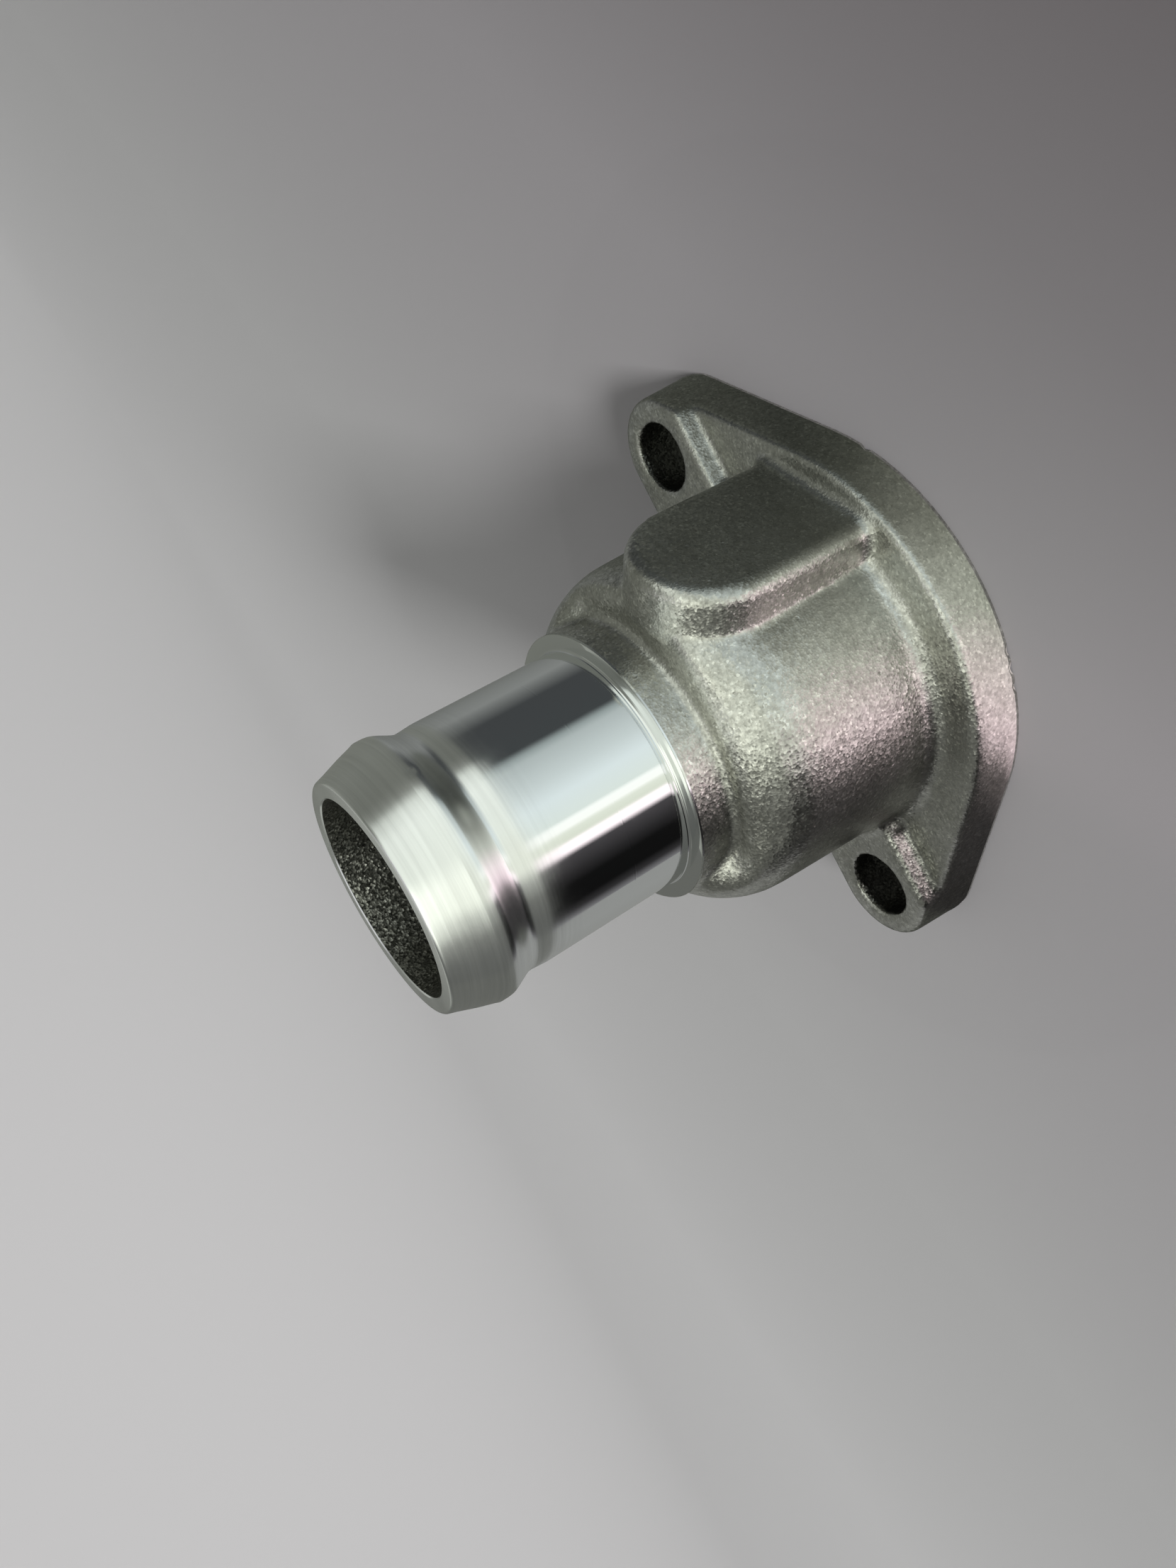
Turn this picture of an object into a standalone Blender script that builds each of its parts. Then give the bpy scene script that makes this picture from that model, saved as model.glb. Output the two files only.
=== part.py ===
"""A cast-aluminium coolant flange: a stepped two-bolt flange, a domed body and a hose spout.

Metres, +Z along the spout, standing on the machined sealing face at z = 0, with +X along the line
of the two bolt holes. The real thing is one casting, so it is one solid: the cast forms are joined,
and the machined faces and holes are then cut from them, in the order in which they are made.
"""

import math

import bmesh
import bpy
from mathutils import Vector

# Heights along the spout, from the sealing face upwards
BODY_HEIGHT = 0.0312  # sealing face to the bottom of the valley round the collar
COLLAR_HEIGHT = 0.00505  # that valley to the machined ring face
SPOUT_LENGTH = 0.03275  # ring face to the spout's end

# Spout, turned about its own axis
SPOUT_RADIUS = 0.0161  # the plain length that the hose sits on
SPOUT_WALL = 0.0031
END_FACE_WIDTH = 0.0016  # flat end face, from the bore outwards
NOSE_WIDTH = 0.00095  # rounded nose, from the end face out to the lead-in cone
NOSE_LENGTH = 0.0013
BEAD_RISE = 0.0011  # crest of the bead that holds the hose, above the plain length
BEAD_DISTANCE = 0.0061  # spout's end to the crest
CREST_LENGTH = 0.0012
BEAD_BACK_LENGTH = 0.0033  # the crest down to the groove behind it
GROOVE_DEPTH = 0.0002  # the groove below the plain length
GROOVE_RUNOUT = 0.0030  # the groove back up to the plain length
SPOUT_FILLET = 0.0004  # tool radius where the spout meets the ring face

# Collar
RING_WIDTH = 0.00215  # ring face, from the spout out to the collar's wall
COLLAR_FILLET = 0.0010
VALLEY_RISE = math.radians(4)  # slope up out of the shallow valley in front of the collar

# Body, round an axis that lies beside the spout's
BODY_OFFSET = 0.0034  # spout's axis to the body's, towards -Y
COLLAR_MARGIN = 0.0009  # the body's wall past the collar's, at +Y where the two are nearest
SHOULDER_RISE = 0.0052  # the valley's bottom above the height where the wall turns in
SHOULDER_RADIUS = 0.0115
FRONT_RADIUS = 0.0085  # the shoulder's radius in front, where it starts lower
FRONT_DROP = 0.0031
# Where the floor beside the collar leaves the shoulder's arc, in front and to the sides
FRONT_JOIN = math.radians(50)
SIDE_JOIN = math.radians(22)
# Azimuths, about the body's axis, over which the shoulder rises and the valley then runs out
SIDE_RIGHT = (math.radians(-88), math.radians(-48))
SIDE_LEFT = (math.radians(-130), math.radians(-166))
FLANK_RIGHT = (math.radians(-6), math.radians(7))
FLANK_LEFT = (math.radians(-146), math.radians(-171))
DRAFT = math.radians(2)
FOOT_FILLET = 0.0020
WALL = 0.0035
CEILING_FILLET = 0.0040
MOUTH_CHAMFER = 0.0006

# Flange
HEAD_ROOM = 0.0093  # body's wall to a bolt's axis, for the bolt's head and its spanner
BOLT_HOLE_RADIUS = 0.00457
EAR_WALL = 0.00318  # metal outside a bolt hole
RIM_WIDTH = 0.00785  # the flange's bulge past the body's wall
BULGE_OFFSET = 0.0024  # spout's axis to the centre of the bulge, towards -Y
RIM_HEIGHT = 0.0065  # level of the bulge above the sealing face
STEP_HEIGHT = 0.0025  # from that level up to the bolt pads
STEP_DISTANCE = 0.0074  # hole line to the step between the two levels
STEP_RUN = 0.0005  # lean of the step
STEP_ROUND = 0.0005
EDGE_ROUND = 0.0009
PARTING_HEIGHT = 0.0016  # flash line round the flange's side
FLASH = 0.00012  # how far the flash stands out
SIDE_DRAFT = 0.0004  # the side leans out by this much from its top edge down to the flash
UNDERCUT = 0.0002  # and in again by this much from the flash to the sealing face

# Tongue-shaped pad on the body
TONGUE_ANGLE = math.radians(-46)  # its normal, about the body's axis
TONGUE_RISE = 0.00375  # flat face past the body's wall
TONGUE_HALF_WIDTH = 0.0078
TONGUE_ROUND = 0.0014
TONGUE_FOOT_FILLET = 0.0015
TONGUE_DROP = 0.0084  # the valley's bottom down to the centre of the pad's round end
TONGUE_DRAFT = math.radians(2)

# Machining allowance under the sealing face, and how far cutters run past the casting
STOCK = 0.0020
OVERRUN = 0.0050

SEGMENTS = 72
ARC_STEPS = 10

# Heights and radii that follow from the sizes above
RING_HEIGHT = BODY_HEIGHT + COLLAR_HEIGHT
HEIGHT = RING_HEIGHT + SPOUT_LENGTH
WALL_TOP = BODY_HEIGHT - SHOULDER_RISE
TONGUE_CENTRE = BODY_HEIGHT - TONGUE_DROP
PAD_HEIGHT = RIM_HEIGHT + STEP_HEIGHT
BORE_RADIUS = SPOUT_RADIUS - SPOUT_WALL
END_FACE_RADIUS = BORE_RADIUS + END_FACE_WIDTH
NOSE_RADIUS = END_FACE_RADIUS + NOSE_WIDTH
BEAD_RADIUS = SPOUT_RADIUS + BEAD_RISE
GROOVE_RADIUS = SPOUT_RADIUS - GROOVE_DEPTH
COLLAR_RADIUS = SPOUT_RADIUS + RING_WIDTH
BODY_RADIUS = COLLAR_RADIUS + BODY_OFFSET + COLLAR_MARGIN  # at the top of its wall
TONGUE_FACE = BODY_RADIUS + TONGUE_RISE  # from the body's axis
BULGE_RADIUS = BODY_RADIUS + RIM_WIDTH
EAR_RADIUS = BOLT_HOLE_RADIUS + EAR_WALL
HOLE_X = BODY_RADIUS + HEAD_ROOM


def wall_radius(z):
    """Radius of the body's drafted wall at a height."""
    return BODY_RADIUS + (WALL_TOP - z) * math.tan(DRAFT)


# The casting's box is centred on the origin, so everything stands beside it by this much in Y.
FRONT = BULGE_OFFSET + BULGE_RADIUS + SIDE_DRAFT + FLASH
SPOUT_Y = (FRONT - (wall_radius(0) - BODY_OFFSET)) / 2


def clear_scene():
    for obj in list(bpy.data.objects):
        bpy.data.objects.remove(obj, do_unlink=True)


def arc(centre, radii, start, end, steps):
    """Points of an elliptical arc in a plane, both ends included, angles in radians."""
    return [
        (
            centre[0] + radii[0] * math.cos(start + (end - start) * i / steps),
            centre[1] + radii[1] * math.sin(start + (end - start) * i / steps),
        )
        for i in range(steps + 1)
    ]


def ease(start, end, steps):
    """Points of a smooth S from one profile point to another, without the first."""
    points = []
    for i in range(1, steps + 1):
        share = i / steps
        lean = (1 - math.cos(math.pi * share)) / 2
        points.append(
            (
                start[0] + (end[0] - start[0]) * lean,
                start[1] + (end[1] - start[1]) * share,
            )
        )
    return points


def smooth_share(value, start, end):
    """0 at start, 1 at end, and smooth between them, whichever of the two is larger."""
    share = min(max((value - start) / (end - start), 0), 1)
    return share * share * (3 - 2 * share)


def mesh_object(name, bm, collection, parent):
    bmesh.ops.recalc_face_normals(bm, faces=bm.faces)
    mesh = bpy.data.meshes.new(name)
    bm.to_mesh(mesh)
    bm.free()
    obj = bpy.data.objects.new(name, mesh)
    collection.objects.link(obj)
    obj.parent = parent
    return obj


def turned(name, profile, collection, parent):
    """A closed turned form: profile points (radius, z), outer side from top to bottom."""
    bm = bmesh.new()
    points = [bm.verts.new((radius, 0, z)) for radius, z in profile]
    for a, b in zip(points, points[1:]):
        bm.edges.new((a, b))
    mesh = bpy.data.meshes.new(name)
    bm.to_mesh(mesh)
    bm.free()
    obj = bpy.data.objects.new(name, mesh)
    collection.objects.link(obj)
    obj.parent = parent
    screw = obj.modifiers.new("turn", "SCREW")
    screw.steps = SEGMENTS
    screw.render_steps = SEGMENTS
    screw.use_merge_vertices = True
    screw.merge_threshold = 1e-5
    return obj


def skin(bm, rings):
    """Faces between closed rings of equally many points, and returns the rings' vertices."""
    made = [[bm.verts.new(point) for point in ring] for ring in rings]
    for upper, lower in zip(made, made[1:]):
        for i in range(len(upper)):
            bm.faces.new((upper[i - 1], upper[i], lower[i], lower[i - 1]))
    return made


def polar(radius, shift, angle):
    """Distance from the body's axis, at an angle, to a circle whose centre lies at Y = shift."""
    along = shift * math.sin(angle)
    across = shift * math.cos(angle)
    return along + math.sqrt(radius**2 - across**2)


def body_azimuths():
    """Even azimuths about the body's axis, with exact ones where the flange's levels change."""
    foot = wall_radius(RIM_HEIGHT) + FOOT_FILLET
    wall = wall_radius(RIM_HEIGHT)
    step_top, step_bottom = step_profile()[0], step_profile()[-1]
    exact = [
        math.asin((step_bottom[0] + BODY_OFFSET) / wall),
        math.asin((step_top[0] + BODY_OFFSET) / wall),
        math.asin((EAR_RADIUS - EDGE_ROUND / 2 + BODY_OFFSET) / foot),
        math.asin((EAR_RADIUS + SIDE_DRAFT + BODY_OFFSET) / wall),
    ]
    exact += [math.pi - angle for angle in exact]
    pitch = 2 * math.pi / SEGMENTS
    angles = []
    for i in range(SEGMENTS):
        angle = -math.pi / 2 + pitch * i
        if all(abs(angle - fixed) > pitch / 2 for fixed in exact):
            angles.append(angle)
    return sorted(angles + exact)


def shoulder(lean, side):
    """Point of the shoulder's arc: 0 where it leaves the wall, rising towards the collar.

    The arc is low and tight in front of the collar (side 0), high and wide beside it (side 1).
    """
    radius = blend(FRONT_RADIUS, SHOULDER_RADIUS, side)
    bottom = WALL_TOP - blend(FRONT_DROP, 0, side)
    return Vector(
        (
            wall_radius(bottom) - radius * (1 - math.cos(lean)),
            bottom + radius * math.sin(lean),
        )
    )


def blend(start, end, share):
    return start + (end - start) * share


def hermite(start, end, leave, arrive, steps):
    """Points of a smooth curve between two points with given end directions, without the first."""
    points = []
    for i in range(1, steps + 1):
        t = i / steps
        point = (2 * t**3 - 3 * t**2 + 1) * start + (3 * t**2 - 2 * t**3) * end
        point += (t**3 - 2 * t**2 + t) * leave + (t**3 - t**2) * arrive
        points.append(tuple(point))
    return points


def dome_section(angle):
    """Collar wall, its foot and the dome down to the wall, at one azimuth about the body's axis.

    In front a valley lies between the collar and the shoulder. It runs out to each side, and
    behind the collar the shoulder's arc runs straight up to it.
    """
    collar = polar(COLLAR_RADIUS, BODY_OFFSET, angle)
    from_back = angle if angle < math.pi / 2 else angle - 2 * math.pi
    side = max(
        smooth_share(from_back, *SIDE_RIGHT), smooth_share(from_back, *SIDE_LEFT)
    )
    flank = max(
        smooth_share(from_back, *FLANK_RIGHT), smooth_share(from_back, *FLANK_LEFT)
    )
    meet = math.acos(1 - (BODY_RADIUS - collar - COLLAR_FILLET / 4) / SHOULDER_RADIUS)
    rise = blend(VALLEY_RISE * (1 - side), meet - math.pi / 2, flank)
    join = blend(blend(FRONT_JOIN, SIDE_JOIN, side), 0.6 * meet, flank)
    start = Vector((collar + COLLAR_FILLET * (1 + math.sin(rise)), 0))
    valley = BODY_HEIGHT + COLLAR_FILLET * (1 - math.cos(rise))
    lean = math.acos(1 - max(BODY_RADIUS - start.x, 0) / SHOULDER_RADIUS)
    start.y = blend(valley, shoulder(lean, side).y, flank)
    bottom = start.y + COLLAR_FILLET * math.cos(rise)
    points = [
        (collar, blend(RING_HEIGHT, bottom, i / 3)) for i in range(3)
    ]
    points += arc(
        (collar + COLLAR_FILLET, bottom),
        (COLLAR_FILLET, COLLAR_FILLET),
        math.pi,
        math.pi * 3 / 2 + rise,
        4,
    )
    end = shoulder(join, side)
    reach = (end - start).length
    leave = reach * Vector((math.cos(rise), math.sin(rise)))
    arrive = reach * Vector((math.sin(join), -math.cos(join)))
    points += hermite(start, end, leave, arrive, 6)
    points += [tuple(shoulder(blend(join, 0, i / 3), side)) for i in range(1, 4)]
    return points


def foot_level(angle):
    """Flange level at the body's foot, and 0 or 1 for whether the flange reaches that azimuth."""
    y = wall_radius(RIM_HEIGHT) * math.sin(angle) - BODY_OFFSET
    top, bottom = step_profile()[0], step_profile()[-1]
    share = min(max((y - bottom[0]) / (top[0] - bottom[0]), 0), 1)
    return bottom[1] + (top[1] - bottom[1]) * share, y < EAR_RADIUS


def body(collection, parent):
    """Collar, dome, wall and foot, lofted through one section at each azimuth."""
    sections = []
    for angle in body_azimuths():
        section = dome_section(angle)
        level, on_flange = foot_level(angle)
        fillet = FOOT_FILLET if on_flange else 0
        for i in range(5):
            lean = math.pi / 2 * i / 4
            z = level + FOOT_FILLET * (1 - math.sin(lean))
            section.append((wall_radius(z) + fillet * (1 - math.cos(lean)), z))
        section.append((wall_radius(-STOCK) + fillet, -STOCK))
        sections.append(
            [
                (r * math.cos(angle), r * math.sin(angle) - BODY_OFFSET, z)
                for r, z in section
            ]
        )
    bm = bmesh.new()
    rings = skin(bm, list(zip(*sections)))
    bm.faces.new(rings[0])
    bm.faces.new(rings[-1])
    return mesh_object("flange_casting", bm, collection, parent)


def spout(collection, parent):
    """Barbed hose spout, with a root that reaches down into the collar."""

    def at(radius, distance):
        return (radius, HEIGHT - distance)

    crest_end = BEAD_DISTANCE + CREST_LENGTH
    groove = crest_end + BEAD_BACK_LENGTH
    profile = [(0, HEIGHT)]
    nose = arc(
        (END_FACE_RADIUS, HEIGHT - NOSE_LENGTH),
        (NOSE_RADIUS - END_FACE_RADIUS, NOSE_LENGTH),
        math.pi / 2,
        0,
        3,
    )
    profile += nose
    profile += [at(BEAD_RADIUS, BEAD_DISTANCE), at(BEAD_RADIUS, crest_end)]
    profile += ease(profile[-1], at(GROOVE_RADIUS, groove), 6)
    profile += ease(profile[-1], at(SPOUT_RADIUS, groove + GROOVE_RUNOUT), 3)
    corner = (SPOUT_RADIUS + SPOUT_FILLET, RING_HEIGHT + SPOUT_FILLET)
    profile += arc(
        corner, (SPOUT_FILLET, SPOUT_FILLET), math.pi, math.pi * 4 / 3, 2
    )
    # The fillet runs on past the ring face, so that the two meet at a clear angle.
    root = (SPOUT_RADIUS + 2 * SPOUT_FILLET, RING_HEIGHT - SPOUT_FILLET)
    profile += [root, (root[0], BODY_HEIGHT), (0, BODY_HEIGHT)]
    return turned("spout", profile, collection, parent)


def step_profile():
    """(y, height) points across the step from the bolt pads down to the rim, from +Y to -Y."""
    middle = -STEP_DISTANCE
    top = arc(
        (middle + STEP_ROUND, PAD_HEIGHT - STEP_ROUND),
        (STEP_ROUND, STEP_ROUND),
        math.pi / 2,
        math.pi,
        2,
    )
    bottom = arc(
        (middle - STEP_RUN - STEP_ROUND, RIM_HEIGHT + STEP_ROUND),
        (STEP_ROUND, STEP_ROUND),
        0,
        -math.pi / 2,
        2,
    )
    return top + bottom


def flange_outline(offset):
    """Right half of the D-shaped outline, moved out by an offset: ear, step stations and bulge."""
    run = Vector((HOLE_X, BULGE_OFFSET))
    tangent = run.angle_signed(Vector((1, 0))) - math.acos(
        (BULGE_RADIUS - EAR_RADIUS) / run.length
    )
    ear = EAR_RADIUS + offset
    points = arc((HOLE_X, 0), (ear, ear), math.pi / 2, 0, ARC_STEPS)
    points += arc((HOLE_X, 0), (ear, ear), 0, tangent, ARC_STEPS // 2)[1:]
    leave = Vector(points[-1])
    along = Vector((math.sin(tangent), -math.cos(tangent)))
    for y, _ in step_profile():
        points.append(tuple(leave + along * ((y - leave.y) / along.y)))
    bulge = BULGE_RADIUS + offset
    points += arc((0, -BULGE_OFFSET), (bulge, bulge), tangent, -math.pi / 2, ARC_STEPS)
    return points


def flange(collection, parent):
    """The stepped plate: one outline at each height, with its top following the two levels."""
    stations = step_profile()
    first = 1 + ARC_STEPS + ARC_STEPS // 2
    half = len(flange_outline(0))
    levels = [PAD_HEIGHT] * first
    levels += [height for _, height in stations]
    levels += [RIM_HEIGHT] * (half - len(levels))
    flash = SIDE_DRAFT + FLASH
    below = UNDERCUT * (1 + STOCK / PARTING_HEIGHT)
    sides = [
        (flash - below, None, -STOCK),
        (flash, None, PARTING_HEIGHT),
        (SIDE_DRAFT, None, PARTING_HEIGHT + 2 * FLASH),
    ]
    for i in range(4):
        lean = math.pi / 2 * i / 3
        inwards = EDGE_ROUND * (1 - math.cos(lean))
        sides.append((-inwards, -EDGE_ROUND * (1 - math.sin(lean)), None))
    rings = []
    for offset, below_top, height in sides:
        right = [
            (x, y, height if below_top is None else level + below_top)
            for (x, y), level in zip(flange_outline(offset), levels)
        ]
        rings.append(right + [(-x, y, z) for x, y, z in right[-2::-1]])
    bm = bmesh.new()
    made = skin(bm, rings)
    bm.faces.new(made[0])
    top = made[-1]
    last = first + len(stations) - 1
    bm.faces.new(top[: first + 1] + top[-first - 1 :])
    for i in range(first, last):
        bm.faces.new((top[i], top[i + 1], top[-i - 2], top[-i - 1]))
    bm.faces.new(top[last : len(top) - last])
    return mesh_object("flange_plate", bm, collection, parent)


def tongue(collection, parent):
    """The pad's outline, lofted from its flat face down into the body."""
    normal = Vector((math.cos(TONGUE_ANGLE), math.sin(TONGUE_ANGLE), 0))
    across = Vector((-normal.y, normal.x, 0))
    axis = Vector((0, -BODY_OFFSET, 0))
    foot = RIM_HEIGHT / 2
    depth = TONGUE_FACE - (BODY_RADIUS - WALL)
    lean = math.pi / 4
    sides = [
        (0, 0),
        (TONGUE_ROUND * math.sin(lean), TONGUE_ROUND * (1 - math.cos(lean))),
        (TONGUE_ROUND, TONGUE_ROUND),
        (TONGUE_ROUND + (depth - TONGUE_ROUND) * math.tan(TONGUE_DRAFT), depth),
    ]
    rings = []
    for grow, sink in sides:
        half = TONGUE_HALF_WIDTH + grow
        outline = arc((0, TONGUE_CENTRE), (half, half), 0, math.pi, 2 * ARC_STEPS)
        outline += [(-half, foot), (half, foot)]
        place = axis + normal * (TONGUE_FACE - sink)
        rings.append([place + across * t + Vector((0, 0, z)) for t, z in outline])
    bm = bmesh.new()
    made = skin(bm, rings)
    bm.faces.new(made[0])
    bm.faces.new(made[-1])
    return mesh_object("tongue_pad", bm, collection, parent)


def tongue_foot(collection, parent):
    """The fillet between the pad and the flange, lofted upwards through ever smaller sections."""
    normal = Vector((math.cos(TONGUE_ANGLE), math.sin(TONGUE_ANGLE), 0))
    across = Vector((-normal.y, normal.x, 0))
    axis = Vector((0, -BODY_OFFSET, 0))
    inner = BODY_RADIUS - WALL
    steps = [(TONGUE_FOOT_FILLET, RIM_HEIGHT / 2)]
    for i in range(5):
        lean = math.pi / 2 * i / 4
        height = RIM_HEIGHT + TONGUE_FOOT_FILLET * (1 - math.cos(lean))
        steps.append((TONGUE_FOOT_FILLET * (1 - math.sin(lean)), height))
    rings = []
    for grow, z in steps:
        half = TONGUE_HALF_WIDTH + TONGUE_ROUND + grow
        face = TONGUE_FACE + grow
        corner = TONGUE_ROUND + grow
        outline = arc(
            (half - corner, face - corner), (corner, corner), 0, math.pi / 2, 3
        )
        outline += arc(
            (corner - half, face - corner), (corner, corner), math.pi / 2, math.pi, 3
        )
        outline += [(-half, inner), (half, inner)]
        rings.append([axis + across * t + normal * n + Vector((0, 0, z)) for t, n in outline])
    bm = bmesh.new()
    made = skin(bm, rings)
    bm.faces.new(made[0])
    bm.faces.new(made[-1])
    return mesh_object("tongue_foot", bm, collection, parent)


def chamber(collection, parent):
    """The space under the body's dome, open at the sealing face."""

    def radius(z):
        return wall_radius(z) - WALL

    ceiling = BODY_HEIGHT - WALL
    top = radius(ceiling - CEILING_FILLET)
    profile = [(0, ceiling)]
    profile += arc(
        (top - CEILING_FILLET, ceiling - CEILING_FILLET),
        (CEILING_FILLET, CEILING_FILLET),
        math.pi / 2,
        0,
        5,
    )
    profile.append((radius(MOUTH_CHAMFER), MOUTH_CHAMFER))
    mouth = radius(0) + MOUTH_CHAMFER
    profile += [(mouth + OVERRUN, -OVERRUN), (0, -OVERRUN)]
    obj = turned("chamber_core", profile, collection, parent)
    obj.location.y = -BODY_OFFSET
    return obj


def cylinder(name, radius, bottom, top, place, collection, parent):
    bm = bmesh.new()
    bmesh.ops.create_cone(
        bm,
        cap_ends=True,
        segments=SEGMENTS,
        radius1=radius,
        radius2=radius,
        depth=top - bottom,
    )
    bmesh.ops.translate(
        bm, verts=bm.verts, vec=(place[0], place[1], (top + bottom) / 2)
    )
    return mesh_object(name, bm, collection, parent)


def facing_block(collection, parent):
    """What the milling of the sealing face takes away."""
    bm = bmesh.new()
    bmesh.ops.create_cube(bm, size=1)
    width = 2 * (HOLE_X + EAR_RADIUS + OVERRUN)
    depth = 2 * (FRONT + OVERRUN)
    height = STOCK + OVERRUN
    bmesh.ops.scale(bm, verts=bm.verts, vec=(width, depth, height))
    bmesh.ops.translate(bm, verts=bm.verts, vec=(0, 0, -height / 2))
    return mesh_object("facing_block", bm, collection, parent)


def cut_or_join(obj, operation, other):
    modifier = obj.modifiers.new(other.name, "BOOLEAN")
    modifier.operation = operation
    modifier.solver = "EXACT"
    modifier.object = other
    other.hide_render = True
    other.display_type = "WIRE"


def cast_aluminium():
    material = bpy.data.materials.new("cast_aluminium")
    material.use_nodes = True
    shader = material.node_tree.nodes["Principled BSDF"]
    shader.inputs["Base Color"].default_value = (0.42, 0.42, 0.40, 1)
    shader.inputs["Metallic"].default_value = 1
    shader.inputs["Roughness"].default_value = 0.45
    return material


def main():
    clear_scene()
    scene = bpy.context.scene
    parts = bpy.data.collections.new("coolant_flange")
    tools = bpy.data.collections.new("joined_forms_and_cutters")
    scene.collection.children.link(parts)
    scene.collection.children.link(tools)
    spout_axis = bpy.data.objects.new("spout_axis", None)
    spout_axis.location = (0, SPOUT_Y, 0)
    parts.objects.link(spout_axis)

    casting = body(parts, spout_axis)
    for form in (flange, tongue_foot, tongue, spout):
        cut_or_join(casting, "UNION", form(tools, spout_axis))
    cut_or_join(casting, "DIFFERENCE", facing_block(tools, spout_axis))
    cut_or_join(casting, "DIFFERENCE", chamber(tools, spout_axis))
    inside = BODY_HEIGHT - WALL - CEILING_FILLET
    bore = cylinder(
        "bore_core",
        BORE_RADIUS,
        inside,
        HEIGHT + OVERRUN,
        (0, 0),
        tools,
        spout_axis,
    )
    cut_or_join(casting, "DIFFERENCE", bore)
    for side, x in (("left", -HOLE_X), ("right", HOLE_X)):
        drill = cylinder(
            f"bolt_drill_{side}",
            BOLT_HOLE_RADIUS,
            -OVERRUN,
            PAD_HEIGHT + OVERRUN,
            (x, 0),
            tools,
            spout_axis,
        )
        cut_or_join(casting, "DIFFERENCE", drill)

    casting.data.materials.append(cast_aluminium())
    casting.data.shade_smooth()
    casting.data.set_sharp_from_angle(angle=math.radians(30))


main()
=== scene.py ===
"""Looks of the coolant flange: a blasted aluminium casting with a turned hose spout.

Metres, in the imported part's frame: standing on its sealing face, +Z along the spout.
"""

import math

import bmesh
import bpy
from mathutils import Matrix, Vector


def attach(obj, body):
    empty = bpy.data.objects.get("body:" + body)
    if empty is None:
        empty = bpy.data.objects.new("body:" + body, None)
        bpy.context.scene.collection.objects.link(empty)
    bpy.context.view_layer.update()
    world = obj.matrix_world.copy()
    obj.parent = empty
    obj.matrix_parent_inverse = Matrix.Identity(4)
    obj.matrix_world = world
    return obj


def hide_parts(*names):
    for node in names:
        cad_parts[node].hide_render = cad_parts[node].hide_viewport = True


MM = 0.001

# Sizes repeated from the part, in metres
SPOUT_Y = 6.631 * MM
RING_HEIGHT = 36.25 * MM
BORE_RADIUS = 13.0 * MM
PAD_HEIGHT = 9.0 * MM
STEP_Y = SPOUT_Y - 7.4 * MM
HOLE_X = 31.85 * MM
HOLE_RADIUS = 4.57 * MM

# How finely the casting and the spout are drawn
CAST_GRID = 0.41 * MM
TURNED_STEPS = 256

# Stock stands on both machined faces while the casting is softened, from just inside them.
STOCK = 2.0 * MM
STOCK_INSET = 0.02 * MM
# The casting ends a little below the ring face, inside the turned spout's foot.
CAST_END = RING_HEIGHT - 0.05 * MM
# Softening is lighter near the steps beside the bolt seats, to keep them crisp: this far to
# either side of them, and up to this height.
STEP_REACH = 2 * MM
STEP_TOP = PAD_HEIGHT + 1 * MM
# Faces this near to a hole's or the bore's wall belong to it.
HOLE_MARGIN = 0.15 * MM
BORE_MARGIN = 0.02 * MM

# Edges that bend more than this are drawn sharp.
CAST_CREASE = math.radians(50)
TURNED_CREASE = math.radians(30)

# Dents as (place, reach, depth) in millimetres: a nick in the flange's lower edge, the torn
# stretch of that edge in front, and a knock on the bead's crest
EDGE_DENTS = [
    ((19.8, -19.5, 0.2), 0.9, 0.35),
    ((-8.0, -25.6, 0.3), 0.9, 0.30),
    ((-9.0, -25.3, 0.9), 0.8, 0.20),
    ((-10.1, -24.9, 0.3), 1.0, 0.38),
    ((-11.2, -24.5, 0.8), 0.8, 0.20),
    ((-12.2, -24.1, 0.3), 0.9, 0.28),
]
BEAD_KNOCK = ((11.4, -6.2, 62.0), 0.9, 0.16)

# Camera of the photograph, fitted to the part: its place and its three directions
CAMERA_PLACE = (0.012959, -0.142265 + SPOUT_Y, 0.097777)
CAMERA_RIGHT = (-0.46530961, -0.3726601, -0.80287696)
CAMERA_DOWN = (-0.88091527, 0.10636601, 0.46116652)
CAMERA_FORWARD = (-0.08645954, 0.92185179, -0.3777751)
FOCAL_PIXELS = 1765.208
PHOTO_HEIGHT = 2212
SENSOR_HEIGHT = 36

# The screens stand this far from the spout's axis, in millimetres.
SCREEN_RADIUS = 64
SCREEN_STEPS = 120

# The paper, in metres: its width, its front edge, and where and how it sweeps up
PAPER_WIDTH = 3.2
PAPER_FRONT = -1.2
PAPER_BEND = 0.35
BEND_RADIUS = 0.3
BEND_STEPS = 24
PAPER_RISE = 1.0
# A hair below the sealing face, so that the two never share a plane
PAPER_HEIGHT = -0.02 * MM


def rgb(hex_colour):
    """An sRGB hex colour as linear values."""
    channels = [int(hex_colour[i : i + 2], 16) / 255 for i in (1, 3, 5)]
    linear = [c / 12.92 if c <= 0.04045 else ((c + 0.055) / 1.055) ** 2.4 for c in channels]
    return (*linear, 1.0)


def add(tree, kind, settings=None, inputs=None, links=None, stops=None):
    """One node with its settings, fixed inputs and links from other nodes' outputs.

    A ramp also has its stops: (position, grey or hex colour).
    """
    node = tree.nodes.new(kind)
    for name, value in (settings or {}).items():
        setattr(node, name, value)
    for name, value in (inputs or {}).items():
        node.inputs[name].default_value = value
    for name, output in (links or {}).items():
        tree.links.new(output, node.inputs[name])
    if stops:
        elements = node.color_ramp.elements
        while len(elements) < len(stops):
            elements.new(0.5)
        for element, (position, tone) in zip(elements, stops):
            element.position = position
            element.color = rgb(tone) if isinstance(tone, str) else (tone, tone, tone, 1)
    return node


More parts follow.
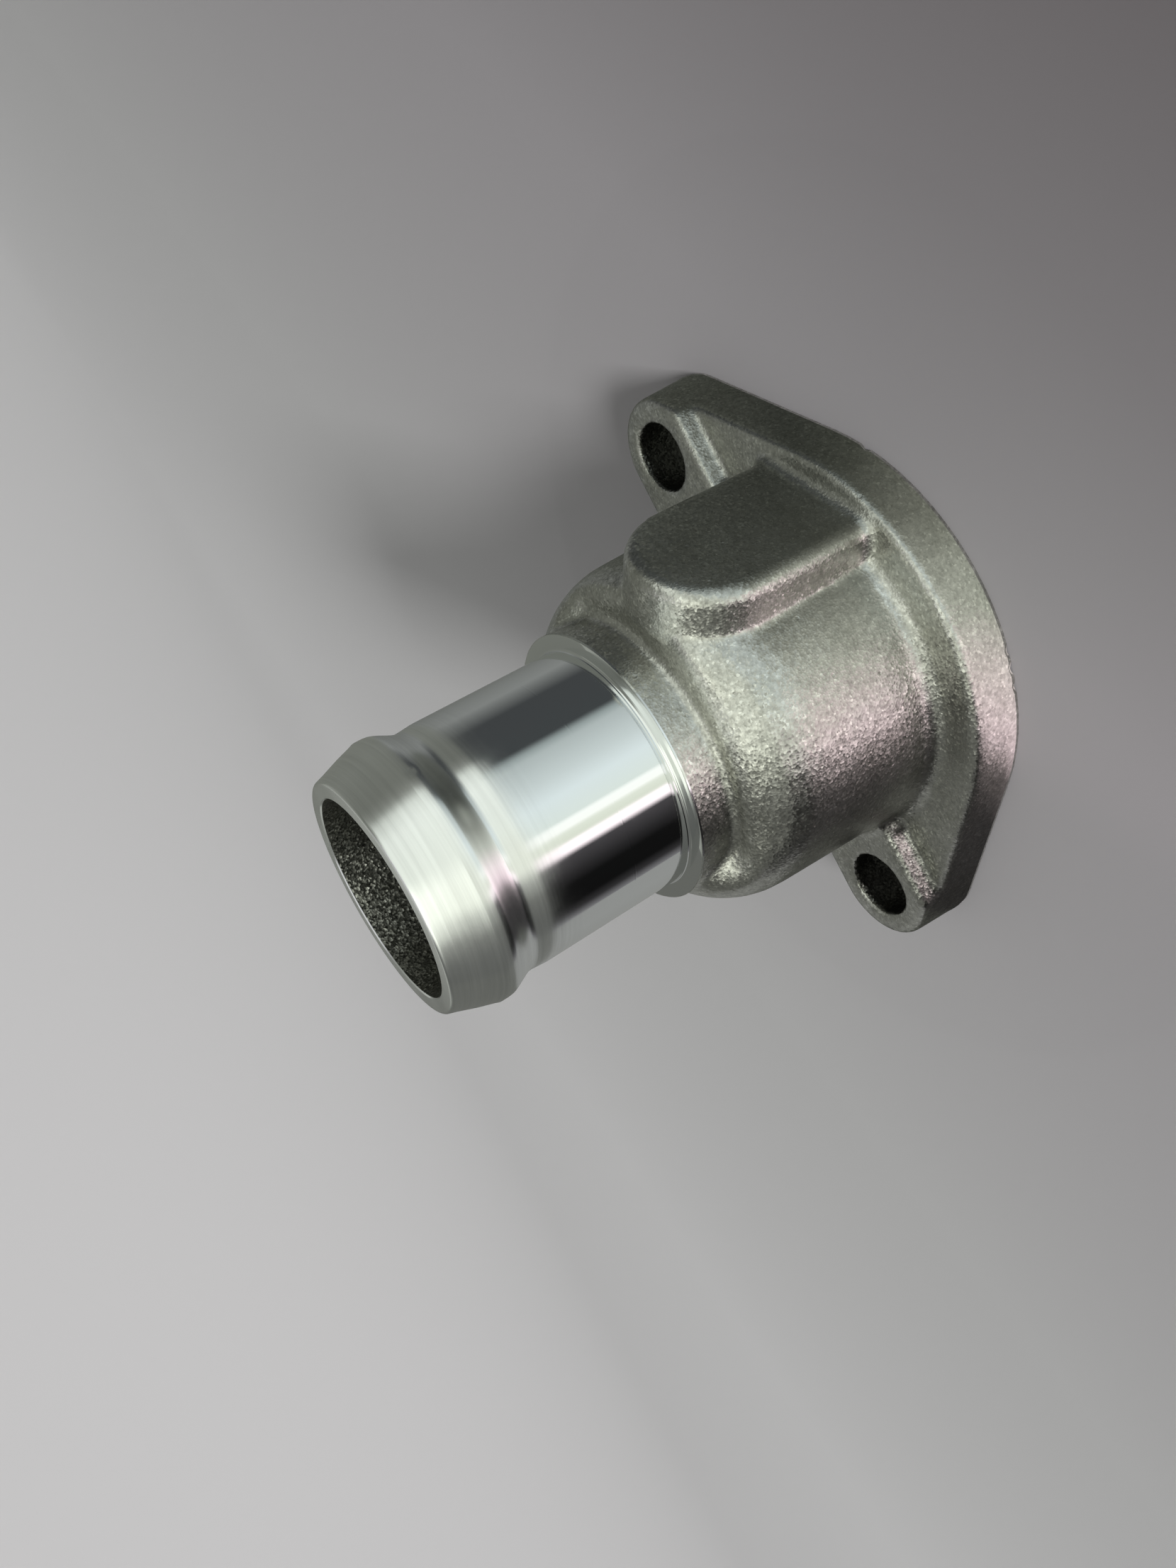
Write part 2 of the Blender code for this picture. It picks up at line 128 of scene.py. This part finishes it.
def new_material(name):
    """A material with its tree cleared down to the output, and the tree."""
    material = bpy.data.materials.new(name)
    material.use_nodes = True
    tree = material.node_tree
    tree.nodes.clear()
    return material, tree, tree.nodes.new("ShaderNodeOutputMaterial")


def blasted_aluminium(name, pale, dark, glint):
    """Sand-cast aluminium, shot-blasted: dull grey, finely dented all over, with tiny glints."""
    material, tree, output = new_material(name)
    place = add(tree, "ShaderNodeTexCoord").outputs["Object"]
    # Shot leaves dents of 0.1 to 0.3 mm, drawn at 0.27 mm so that they show as grain.
    dents = add(
        tree,
        "ShaderNodeTexVoronoi",
        inputs={"Scale": 1 / (0.27 * MM)},
        links={"Vector": place},
    ).outputs
    # The sand mould leaves lumps of about a millimetre, and finer ones on them.
    lumps = add(
        tree,
        "ShaderNodeTexNoise",
        inputs={"Scale": 1 / (0.8 * MM), "Detail": 5, "Roughness": 0.68},
        links={"Vector": place},
    ).outputs["Fac"]
    # The blasting is a little uneven, in patches of about 7 mm.
    patches = add(
        tree,
        "ShaderNodeTexNoise",
        inputs={"Scale": 1 / (7 * MM), "Detail": 3, "Roughness": 0.55},
        links={"Vector": place},
    ).outputs["Fac"]
    # Sparse craters, 0.5 mm wide, where a grain of sand was torn out
    craters = add(
        tree,
        "ShaderNodeTexVoronoi",
        inputs={"Scale": 1 / (2.1 * MM)},
        links={"Vector": place},
    ).outputs["Distance"]
    crater_depth = add(
        tree,
        "ShaderNodeValToRGB",
        links={"Fac": craters},
        stops=[(0.0, 0.0), (0.09, 0.2), (0.14, 1.0)],
    ).outputs["Color"]

    # Each dent has its own tone, and about one in fifteen is a bright fleck.
    chance = add(tree, "ShaderNodeSeparateColor", links={"Color": dents["Color"]}).outputs["Red"]
    fleck_tone = add(
        tree,
        "ShaderNodeValToRGB",
        links={"Fac": chance},
        stops=[(0.0, 0.56), (0.6, 0.72), (0.9, 0.78), (0.97, 1.0)],
    ).outputs["Color"]
    lump_tone = add(
        tree, "ShaderNodeValToRGB", links={"Fac": lumps}, stops=[(0.32, dark), (0.68, pale)]
    ).outputs["Color"]
    patch_tone = add(
        tree,
        "ShaderNodeValToRGB",
        links={"Fac": patches},
        stops=[(0.3, "#e6e6e4"), (0.7, "#ffffff")],
    ).outputs["Color"]
    colour = lump_tone
    for tone in (patch_tone, fleck_tone):
        colour = add(
            tree, "ShaderNodeVectorMath", {"operation": "MULTIPLY"}, links={0: colour, 1: tone}
        ).outputs["Vector"]
    # The tops of the lumps are a little smoother than the hollows between them.
    roughness = add(
        tree, "ShaderNodeValToRGB", links={"Fac": lumps}, stops=[(0.35, 0.40), (0.65, 0.27)]
    ).outputs["Color"]

    # Dents, lumps and craters press into the skin, one on top of the other.
    below = {}
    for height, strength, depth in (
        (dents["Distance"], 0.4, 0.05 * MM),
        (lumps, 0.2, 0.11 * MM),
        (crater_depth, 0.5, 0.08 * MM),
    ):
        bump = add(
            tree,
            "ShaderNodeBump",
            inputs={"Strength": strength, "Distance": depth},
            links={"Height": height, **below},
        )
        below = {"Normal": bump.outputs["Normal"]}
    # Each dent faces its own way a little, which makes the metal glint from grain to grain.
    lean = add(
        tree,
        "ShaderNodeVectorMath",
        {"operation": "MULTIPLY_ADD"},
        {1: (glint, glint, glint), 2: (-glint / 2, -glint / 2, -glint / 2)},
        {0: dents["Color"]},
    ).outputs["Vector"]
    facing = add(
        tree, "ShaderNodeVectorMath", {"operation": "ADD"}, links={0: below["Normal"], 1: lean}
    ).outputs["Vector"]
    normal = add(
        tree, "ShaderNodeVectorMath", {"operation": "NORMALIZE"}, links={0: facing}
    ).outputs["Vector"]
    shader = add(
        tree,
        "ShaderNodeBsdfPrincipled",
        inputs={"Metallic": 1.0},
        links={"Base Color": colour, "Roughness": roughness, "Normal": normal},
    )
    tree.links.new(shader.outputs["BSDF"], output.inputs["Surface"])
    return material


def turned_aluminium():
    """Turned aluminium: near the ring face almost a mirror, satin with tool rings by the bead."""
    material, tree, output = new_material("turned_aluminium")
    place = add(tree, "ShaderNodeTexCoord").outputs["Object"]
    height = add(tree, "ShaderNodeSeparateXYZ", links={"Vector": place}).outputs["Z"]
    # 0 on the smooth length by the ring face, 1 on the satin length by the bead
    satin = add(
        tree,
        "ShaderNodeMapRange",
        {"interpolation_type": "SMOOTHSTEP"},
        {"From Min": 49.5 * MM, "From Max": 57 * MM},
        {"Value": height},
    ).outputs["Result"]
    # The tool's feed is about 0.15 mm a turn, drawn at 0.45 mm so that its rings show. They are
    # uneven, so the noise is stretched to rings: quick along Z and slow round the spout.
    stretched = add(
        tree, "ShaderNodeMapping", inputs={"Scale": (0.02, 0.02, 1)}, links={"Vector": place}
    ).outputs["Vector"]
    rings = add(
        tree,
        "ShaderNodeTexNoise",
        inputs={"Scale": 1 / (0.45 * MM), "Detail": 3, "Roughness": 0.6},
        links={"Vector": stretched},
    ).outputs["Fac"]
    # Smears of about 4 mm are a little duller than the rest.
    smears = add(
        tree,
        "ShaderNodeTexNoise",
        inputs={"Scale": 1 / (4 * MM), "Detail": 5, "Roughness": 0.65},
        links={"Vector": place},
    ).outputs["Fac"]
    turned_roughness = add(
        tree, "ShaderNodeMapRange", inputs={"To Min": 0.045, "To Max": 0.2}, links={"Value": satin}
    ).outputs["Result"]
    smear_roughness = add(
        tree,
        "ShaderNodeMapRange",
        inputs={"From Min": 0.4, "From Max": 0.7, "To Min": 0.0, "To Max": 0.05},
        links={"Value": smears},
    ).outputs["Result"]
    roughness = add(
        tree,
        "ShaderNodeMath",
        {"operation": "ADD"},
        links={0: turned_roughness, 1: smear_roughness},
    ).outputs["Value"]
    ring_strength = add(
        tree, "ShaderNodeMapRange", inputs={"To Min": 0.004, "To Max": 0.36}, links={"Value": satin}
    ).outputs["Result"]
    bump = add(
        tree,
        "ShaderNodeBump",
        inputs={"Distance": 0.012 * MM},
        links={"Height": rings, "Strength": ring_strength},
    )
    streaks = add(
        tree,
        "ShaderNodeValToRGB",
        links={"Fac": rings},
        stops=[(0.3, "#dee0e0"), (0.7, "#eceeee")],
    ).outputs["Color"]
    # Inputs 6 and 7 and output 2 are the Mix node's two colours and their mix.
    colour = add(
        tree,
        "ShaderNodeMix",
        {"data_type": "RGBA"},
        {6: rgb("#e8eaea")},
        {0: satin, 7: streaks},
    ).outputs[2]
    # The highlights stretch along the spout, across the tool's rings.
    tangent = add(tree, "ShaderNodeTangent", {"direction_type": "RADIAL", "axis": "Z"})
    shader = add(
        tree,
        "ShaderNodeBsdfPrincipled",
        inputs={"Metallic": 1.0, "Anisotropic": 0.5, "Anisotropic Rotation": 0.25},
        links={
            "Base Color": colour,
            "Roughness": roughness,
            "Normal": bump.outputs["Normal"],
            "Tangent": tangent.outputs["Tangent"],
        },
    )
    tree.links.new(shader.outputs["BSDF"], output.inputs["Surface"])
    return material


def milled_aluminium():
    """Milled aluminium on the sealing face: pale and flat, with the cutter's shallow arcs."""
    material, tree, output = new_material("milled_aluminium")
    place = add(tree, "ShaderNodeTexCoord").outputs["Object"]
    # A wide facing cutter leaves arcs about 0.6 mm apart, round a centre far to one side.
    centred = add(
        tree, "ShaderNodeMapping", inputs={"Location": (0.09, 0.02, 0)}, links={"Vector": place}
    ).outputs["Vector"]
    arcs = add(
        tree,
        "ShaderNodeTexWave",
        {"wave_type": "RINGS", "rings_direction": "Z", "wave_profile": "SIN"},
        {"Scale": 0.314 / (0.6 * MM), "Distortion": 0.5, "Detail": 2},
        {"Vector": centred},
    ).outputs["Fac"]
    bump = add(
        tree,
        "ShaderNodeBump",
        inputs={"Strength": 0.25, "Distance": 0.02 * MM},
        links={"Height": arcs},
    )
    roughness = add(
        tree, "ShaderNodeValToRGB", links={"Fac": arcs}, stops=[(0.2, 0.22), (0.8, 0.34)]
    ).outputs["Color"]
    shader = add(
        tree,
        "ShaderNodeBsdfPrincipled",
        inputs={"Base Color": rgb("#d3d4d2"), "Metallic": 1.0},
        links={"Roughness": roughness, "Normal": bump.outputs["Normal"]},
    )
    tree.links.new(shader.outputs["BSDF"], output.inputs["Surface"])
    return material


def finished_mesh(bm, name):
    """The mesh of a bmesh, which is then let go."""
    mesh = bpy.data.meshes.new(name)
    bm.to_mesh(mesh)
    bm.free()
    return mesh


def add_object(name, data, materials=()):
    """An object in the scene, with its materials."""
    obj = bpy.data.objects.new(name, data)
    bpy.context.scene.collection.objects.link(obj)
    for material in materials:
        data.materials.append(material)
    return obj


def add_piece(name, mesh, materials):
    """A piece of the flange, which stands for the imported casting."""
    obj = add_object(name, mesh, materials)
    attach(obj, "root")
    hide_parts("flange_casting")


def cut_level(bm, height, upper):
    """Cuts everything above, or below, a level plane away, and returns the open edges there."""
    bmesh.ops.bisect_plane(
        bm,
        geom=bm.verts[:] + bm.edges[:] + bm.faces[:],
        dist=1e-7,
        plane_co=(0, 0, height),
        plane_no=(0, 0, 1),
        clear_outer=upper,
        clear_inner=not upper,
    )
    return [
        e
        for e in bm.edges
        if e.is_boundary and all(abs(v.co.z - height) < 0.002 * MM for v in e.verts)
    ]


def raise_stock(bm, edges, rise):
    """Lengthens open walls by some stock and closes them, so that softening spares their edge."""
    raised = bmesh.ops.extrude_edge_only(bm, edges=edges)["geom"]
    verts = [g for g in raised if isinstance(g, bmesh.types.BMVert)]
    bmesh.ops.translate(bm, verts=verts, vec=(0, 0, rise))
    rim = [g for g in raised if isinstance(g, bmesh.types.BMEdge)]
    bmesh.ops.triangle_fill(bm, use_beauty=True, edges=rim)


def sharpen_creases(bm, angle):
    """Draws the edges sharp that bend more than an angle."""
    for e in bm.edges:
        if len(e.link_faces) == 2 and e.calc_face_angle(0) > angle:
            e.smooth = False


def dent(bm, place, reach, depth):
    """Pushes the skin in about a point, deepest in its middle. All in millimetres."""
    centre = Vector(place) * MM
    for v in bm.verts:
        share = (v.co - centre).length / (reach * MM)
        if share < 1:
            v.co -= v.normal * depth * MM * (1 - share**2) ** 2
            v.co.z = max(v.co.z, 0)


def redrawn_on_grid(bm):
    """The closed shape of a bmesh, drawn again on an even grid, as a new bmesh."""
    stock = add_object("cast_stock", finished_mesh(bm, "cast_stock"))
    remesh = stock.modifiers.new("grid", "REMESH")
    remesh.mode = "VOXEL"
    remesh.voxel_size = CAST_GRID
    graph = bpy.context.evaluated_depsgraph_get()
    fine = bpy.data.meshes.new_from_object(stock.evaluated_get(graph))
    bpy.data.objects.remove(stock)
    bm = bmesh.new()
    bm.from_mesh(fine)
    return bm


def casting(node):
    """The casting below the ring face: the CAD shape with a casting's soft edges and fillets."""
    bm = bmesh.new()
    bm.from_mesh(node.data)
    bmesh.ops.remove_doubles(bm, verts=bm.verts, dist=1e-6)
    raise_stock(bm, cut_level(bm, RING_HEIGHT - STOCK_INSET, True), STOCK)
    raise_stock(bm, cut_level(bm, STOCK_INSET, False), -STOCK)
    bmesh.ops.recalc_face_normals(bm, faces=bm.faces)
    bm = redrawn_on_grid(bm)

    off_steps = [v for v in bm.verts if abs(v.co.y - STEP_Y) > STEP_REACH or v.co.z > STEP_TOP]
    for softened in (bm.verts, off_steps):
        bmesh.ops.smooth_vert(
            bm, verts=softened, factor=0.5, use_axis_x=True, use_axis_y=True, use_axis_z=True
        )

    # The stock comes off again: the top is closed out of sight, and the sealing face is milled.
    skin, milled, hole_wall = range(3)
    bmesh.ops.triangle_fill(bm, use_beauty=True, edges=cut_level(bm, CAST_END, True))
    sealing = bmesh.ops.triangle_fill(bm, use_beauty=True, edges=cut_level(bm, 0, False))
    for element in sealing["geom"]:
        if isinstance(element, bmesh.types.BMFace):
            element.material_index = milled
    bmesh.ops.recalc_face_normals(bm, faces=bm.faces)
    for f in bm.faces:
        f.smooth = f.material_index == skin
        centre = f.calc_center_median()
        # Faces of the holes' walls get the darker material below, which paints shade into the
        # holes.
        reach = math.hypot(abs(centre.x) - HOLE_X, centre.y - SPOUT_Y)
        if reach < HOLE_RADIUS + HOLE_MARGIN and abs(f.normal.z) < 0.5:
            f.material_index = hole_wall
    sharpen_creases(bm, CAST_CREASE)
    for place, reach, depth in EDGE_DENTS:
        dent(bm, place, reach, depth)
    # The holes' walls are painted darker than the skin: painted shade in the holes.
    materials = [
        blasted_aluminium("blasted_cast_aluminium", "#fbfbf5", "#d3d3cd", 0.17),
        milled_aluminium(),
        blasted_aluminium("hole_wall_painted_shade", "#a2a29c", "#6a6a66", 0.34),
    ]
    add_piece("casting", finished_mesh(bm, "casting"), materials)


def curve(centre, radii, start, end, steps):
    """Profile points (radius, height) along an arc, both ends included, angles in degrees."""
    points = []
    for i in range(steps + 1):
        angle = math.radians(start + (end - start) * i / steps)
        points.append(
            (centre[0] + radii[0] * math.cos(angle), centre[1] + radii[1] * math.sin(angle))
        )
    return points


def s_curve(start, end, steps, bend):
    """Profile points between two points, without the first: bend 0 is straight, 1 a full S."""
    points = []
    for i in range(1, steps + 1):
        share = i / steps
        lean = (1 - bend) * share + bend * (1 - math.cos(math.pi * share)) / 2
        points.append(
            (start[0] + (end[0] - start[0]) * lean, start[1] + (end[1] - start[1]) * share)
        )
    return points


def spout_profile():
    """(radius, height) in millimetres, from the bore over the end down to the ring face."""
    top, ring = 69.0, 36.25
    bore, plain, groove, bead, foot = 13.0, 16.1, 15.9, 17.2, 18.25
    # Bore and end face
    profile = [(bore, ring - 0.05), (bore, top - 0.15), (13.15, top), (14.7, top)]
    # The end face's outer corner, and the nose's cone
    profile += curve((14.85, top - 0.55), (0.42, 0.55), 90, 20, 6)
    profile += [(15.55, top - 1.3), (16.4, top - 3.6), (17.08, top - 5.75)]
    # The bead's crest, its back slope, and the shallow groove behind it
    profile += curve((16.9, top - 6.15), (0.3, 0.45), 35, 0, 3)
    profile += [(bead, top - 7.0)]
    profile += s_curve((bead, top - 7.3), (groove, top - 10.6), 14, 0.4)
    profile += s_curve((groove, top - 10.6), (plain, top - 13.6), 5, 1.0)
    # Plain length, with the witness line where the finishing tool started, 0.01 mm proud
    profile += [(plain, height) for height in (54, 52, 50, 48, 46, 44.6, 44.45, 44.4)]
    profile += [(16.11, 44.3)]
    profile += [(plain, height) for height in (44.2, 44.15, 44, 42, 40, 38.5, 37, 36.75)]
    # Fillet of 0.4 mm at the foot, and the ring face
    profile += curve((16.5, ring + 0.4), (0.4, 0.4), 180, 270, 6)
    profile += [(18.1, ring), (foot, ring - 0.08), (foot, ring - 0.3), (bore, ring - 0.3)]
    return profile


def turned_spout():
    """The spout, spun from its profile about its own axis, with the ring face at its foot."""
    bm = bmesh.new()
    axis = Vector((0, SPOUT_Y, 0))
    verts = [bm.verts.new(axis + Vector((r * MM, 0, z * MM))) for r, z in spout_profile()]
    edges = [bm.edges.new(pair) for pair in zip(verts, verts[1:] + verts[:1])]
    bmesh.ops.spin(
        bm,
        geom=verts + edges,
        cent=axis,
        axis=(0, 0, 1),
        angle=2 * math.pi,
        steps=TURNED_STEPS,
        use_merge=True,
    )
    bmesh.ops.remove_doubles(bm, verts=bm.verts, dist=1e-7)
    bmesh.ops.recalc_face_normals(bm, faces=bm.faces)
    turned, bored = range(2)
    for f in bm.faces:
        f.smooth = True
        centre = f.calc_center_median()
        inside = math.hypot(centre.x, centre.y - SPOUT_Y) < BORE_RADIUS + BORE_MARGIN
        f.material_index = bored if inside else turned
    sharpen_creases(bm, TURNED_CREASE)
    bm.normal_update()
    dent(bm, *BEAD_KNOCK)
    # The bore is painted darker than the skin: painted shade inside the spout.
    bore = blasted_aluminium("bore_painted_shade", "#eaeae4", "#a3a39e", 0.3)
    add_piece("turned_spout", finished_mesh(bm, "turned_spout"), [turned_aluminium(), bore])


def screen_light(name, bands, strength):
    """Bright and dark bands by azimuth, as the things in a room give to what mirrors them."""
    material, tree, output = new_material(name)
    place = add(tree, "ShaderNodeTexCoord").outputs["Object"]
    centred = add(
        tree, "ShaderNodeMapping", inputs={"Location": (0, -SPOUT_Y, 0)}, links={"Vector": place}
    ).outputs["Vector"]
    # Runs from 0 to 1 over the azimuths -180 to 180 degrees
    turn = add(
        tree,
        "ShaderNodeTexGradient",
        {"gradient_type": "RADIAL"},
        links={"Vector": centred},
    ).outputs["Fac"]
    colour = add(
        tree,
        "ShaderNodeValToRGB",
        links={"Fac": turn},
        stops=[(0.5 + azimuth / 360, tone) for azimuth, tone in bands],
    ).outputs["Color"]
    light = add(
        tree, "ShaderNodeEmission", inputs={"Strength": strength}, links={"Color": colour}
    )
    tree.links.new(light.outputs["Emission"], output.inputs["Surface"])
    return material


def screen(name, profile, bands, strength):
    """A round screen that stands about the part and shows only in its reflections."""
    bm = bmesh.new()
    verts = [bm.verts.new((-r * MM, SPOUT_Y, z * MM)) for r, z in profile]
    edges = [bm.edges.new(pair) for pair in zip(verts, verts[1:])]
    bmesh.ops.spin(
        bm,
        geom=verts + edges,
        cent=(0, SPOUT_Y, 0),
        axis=(0, 0, 1),
        angle=2 * math.pi,
        steps=SCREEN_STEPS,
        use_merge=True,
    )
    obj = add_object(name, finished_mesh(bm, name), [screen_light(name, bands, strength)])
    obj.visible_camera = False
    obj.visible_diffuse = False
    obj.visible_shadow = False
    obj.visible_transmission = False


# Bands of the screens, as (azimuth in degrees, colour). The turned spout mirrors these.
HIGH_BANDS = [
    (-180, "#6b6a6c"),
    (-172, "#2c2b2c"),
    (-164, "#0e0e0e"),
    (-148, "#0f0f0f"),
    (-140, "#252425"),
    (-126, "#403e40"),
    (-122.5, "#fff2f5"),
    (-117, "#fff6f6"),
    (-115, "#cbd0c1"),
    (-109, "#d3d8cb"),
    (-107, "#eef0ea"),
    (-102, "#eef1ec"),
    (-100, "#ccd5cf"),
    (-84, "#ccd6d6"),
    (-70, "#b9c2c1"),
    (-50, "#a2aaa9"),
    (-45, "#87908f"),
    (-40, "#3a3d3e"),
    (-3, "#3a3c3d"),
    (20, "#767876"),
    (60, "#60625f"),
    (110, "#767774"),
    (160, "#848583"),
]
# The cast body mirrors these, lower down.
LOW_BANDS = [
    (-180, "#2d2c2c"),
    (-150, "#343233"),
    (-136, "#6b6465"),
    (-125, "#f6e0e7"),
    (-112, "#fdeef0"),
    (-94, "#bfc3b8"),
    (-70, "#7f8179"),
    (-50, "#484a44"),
    (-30, "#3a3c38"),
    (0, "#4c4e49"),
    (30, "#484a45"),
    (60, "#3a3c38"),
    (150, "#434440"),
]
# The nose, the bead and the body's slopes mirror these, above.
UPPER_BANDS = [
    (-180, "#555653"),
    (-160, "#5a5b58"),
    (-142, "#666763"),
    (-128, "#989a93"),
    (-118, "#d2d6c9"),
    (-100, "#d1d5c9"),
    (-85, "#d6dbd1"),
    (-50, "#dde2da"),
    (-37, "#d0d5cd"),
    (-30, "#6f716b"),
    (-20, "#62645e"),
    (20, "#696b65"),
    (60, "#646660"),
    (120, "#5a5b57"),
]
# The shoulder and the spout's end face mirror these, overhead.
TOP_BANDS = [
    (-180, "#4c4d4a"),
    (-160, "#6b6c68"),
    (-146, "#a9aba3"),
    (-134, "#f4f8ea"),
    (-100, "#fbfff2"),
    (-85, "#cdd2c8"),
    (-50, "#c3c8c0"),
    (-35, "#83867f"),
    (-15, "#565852"),
    (60, "#7c7e78"),
    (95, "#a6a8a2"),
    (130, "#7c7e78"),
    (160, "#50514e"),
]


def screens():
    """The screens, from overhead down to the floor: (radius, height) profiles in millimetres."""
    screen("top_screen", [(SCREEN_RADIUS, 88), (52, 106), (30, 120)], TOP_BANDS, 1.6)
    screen("upper_screen", [(SCREEN_RADIUS, 42), (SCREEN_RADIUS, 88)], UPPER_BANDS, 1.45)
    screen("high_screen", [(SCREEN_RADIUS, 12), (SCREEN_RADIUS, 42)], HIGH_BANDS, 1.4)
    screen("low_screen", [(SCREEN_RADIUS, 0.4), (SCREEN_RADIUS, 12)], LOW_BANDS, 1.9)
    screen("floor_screen", [(26, 0.4), (SCREEN_RADIUS, 0.4)], LOW_BANDS, 1.25)


def softbox(name, place, aim, size, colour, radiance):
    """A rectangular lamp of a given brightness, aimed at a point."""
    light = bpy.data.lights.new(name, "AREA")
    light.shape = "RECTANGLE"
    light.size, light.size_y = size
    light.color = rgb(colour)[:3]
    light.energy = radiance * math.pi * size[0] * size[1]
    obj = add_object(name, light)
    obj.location = place
    obj.rotation_euler = (Vector(aim) - Vector(place)).to_track_quat("-Z", "Y").to_euler()
    return obj


def lamps():
    """A faint light from above, and the light on the paper."""
    softbox("top", (-0.05, -0.05, 0.75), (0, 0.1, 0), (0.7, 0.5), "#fdffff", 0.3)
    # Lights the paper alone, from the front left, so that the part's shadow falls behind it.
    paper = softbox("paper", (-0.55, -1.37, 0.63), (0, 0.1, 0), (0.35, 0.35), "#fffdff", 55.0)
    paper.visible_glossy = False


def seen_share(tree):
    """1 on rays from the camera and on mirrored or refracted ones, 0 on the rest."""
    path = add(tree, "ShaderNodeLightPath").outputs
    seen = path["Is Camera Ray"]
    for kind in ("Is Glossy Ray", "Is Transmission Ray"):
        seen = add(
            tree,
            "ShaderNodeMath",
            {"operation": "ADD", "use_clamp": True},
            links={0: seen, 1: path[kind]},
        ).outputs["Value"]
    return seen


def matt_paper():
    """Matt grey paper with painted shade near the camera and a painted glow towards the back, so it
    is paler there, with hardly any gloss.
    """
    material, tree, output = new_material("matt_paper")
    place = add(tree, "ShaderNodeTexCoord").outputs["Object"]
    # Metres along the paper, away from the camera
    depth = add(
        tree,
        "ShaderNodeVectorMath",
        {"operation": "DOT_PRODUCT"},
        {1: (-0.4, 0.9, 0)},
        {0: place},
    ).outputs["Value"]
    share = add(
        tree,
        "ShaderNodeMapRange",
        inputs={"From Min": -0.12, "From Max": 0.6},
        links={"Value": depth},
    ).outputs["Result"]
    # Darker near the camera and paler towards the back: painted shade in the paper's colour.
    colour = add(
        tree,
        "ShaderNodeValToRGB",
        links={"Fac": share},
        stops=[(0.055, "#7d797a"), (0.135, "#afadae"), (0.29, "#c9cac8"), (1.0, "#cacac9")],
    ).outputs["Color"]
    painted_glow = add(
        tree,
        "ShaderNodeValToRGB",
        links={"Fac": share},
        stops=[(0.14, 0.0), (0.3, 0.03), (0.5, 0.13), (1.0, 0.15)],
    ).outputs["Color"]
    shader = add(
        tree, "ShaderNodeBsdfPrincipled", inputs={"Roughness": 0.9}, links={"Base Color": colour}
    )
    # Its painted glow, stronger towards the back, reaches the camera and what the metal mirrors,
    # and puts no light on the part.
    light = add(tree, "ShaderNodeEmission", links={"Color": painted_glow, "Strength": seen_share(tree)})
    both = add(
        tree,
        "ShaderNodeAddShader",
        links={0: shader.outputs["BSDF"], 1: light.outputs["Emission"]},
    )
    tree.links.new(both.outputs["Shader"], output.inputs["Surface"])
    return material


def sweep():
    """The paper: a floor that bends up into a backdrop behind the part."""
    bm = bmesh.new()
    side = -PAPER_WIDTH / 2
    front = bm.verts.new((side, PAPER_FRONT, PAPER_HEIGHT))
    foot = bm.verts.new((side, PAPER_BEND, PAPER_HEIGHT))
    bm.edges.new((front, foot))
    bend = bmesh.ops.spin(
        bm,
        geom=[foot],
        cent=(side, PAPER_BEND, BEND_RADIUS),
        axis=(1, 0, 0),
        angle=math.pi / 2,
        steps=BEND_STEPS,
    )
    top = [g for g in bend["geom_last"] if isinstance(g, bmesh.types.BMVert)]
    rise = bmesh.ops.extrude_vert_indiv(bm, verts=top)["verts"]
    bmesh.ops.translate(bm, verts=rise, vec=(0, 0, PAPER_RISE))
    wide = bmesh.ops.extrude_edge_only(bm, edges=bm.edges[:])["geom"]
    moved = [g for g in wide if isinstance(g, bmesh.types.BMVert)]
    bmesh.ops.translate(bm, verts=moved, vec=(PAPER_WIDTH, 0, 0))
    bmesh.ops.recalc_face_normals(bm, faces=bm.faces)
    for f in bm.faces:
        f.smooth = True
    add_object("sweep", finished_mesh(bm, "sweep"), [matt_paper()])


def room():
    """An even grey room, which looks paler than the light that it gives."""
    world = bpy.data.worlds.new("dim_room")
    bpy.context.scene.world = world
    world.use_nodes = True
    tree = world.node_tree
    background = tree.nodes["Background"]
    background.inputs["Color"].default_value = rgb("#a4a3a3")
    strength = add(
        tree,
        "ShaderNodeMapRange",
        inputs={"To Min": 0.4, "To Max": 1.1},
        links={"Value": seen_share(tree)},
    ).outputs["Result"]
    tree.links.new(strength, background.inputs["Strength"])


def camera():
    """The camera that took the photograph."""
    data = bpy.data.cameras.new("camera")
    obj = add_object("camera", data)
    right, down, forward = (Vector(d) for d in (CAMERA_RIGHT, CAMERA_DOWN, CAMERA_FORWARD))
    turn = Matrix((right, -down, -forward)).transposed().to_4x4()
    obj.matrix_world = Matrix.Translation(CAMERA_PLACE) @ turn
    data.sensor_fit = "VERTICAL"
    data.sensor_height = SENSOR_HEIGHT
    data.lens = FOCAL_PIXELS * SENSOR_HEIGHT / PHOTO_HEIGHT
    data.clip_start = 0.01
    bpy.context.scene.camera = obj


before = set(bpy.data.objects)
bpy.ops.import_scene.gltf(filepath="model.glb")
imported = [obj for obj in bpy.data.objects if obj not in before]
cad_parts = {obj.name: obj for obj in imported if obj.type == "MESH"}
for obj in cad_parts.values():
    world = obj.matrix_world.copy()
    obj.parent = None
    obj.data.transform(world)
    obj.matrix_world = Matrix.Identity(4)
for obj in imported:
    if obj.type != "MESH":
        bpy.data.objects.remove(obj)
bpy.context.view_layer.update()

casting(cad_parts["flange_casting"])
turned_spout()
sweep()
room()
screens()
lamps()
camera()
bpy.context.scene.view_settings.view_transform = "Standard"
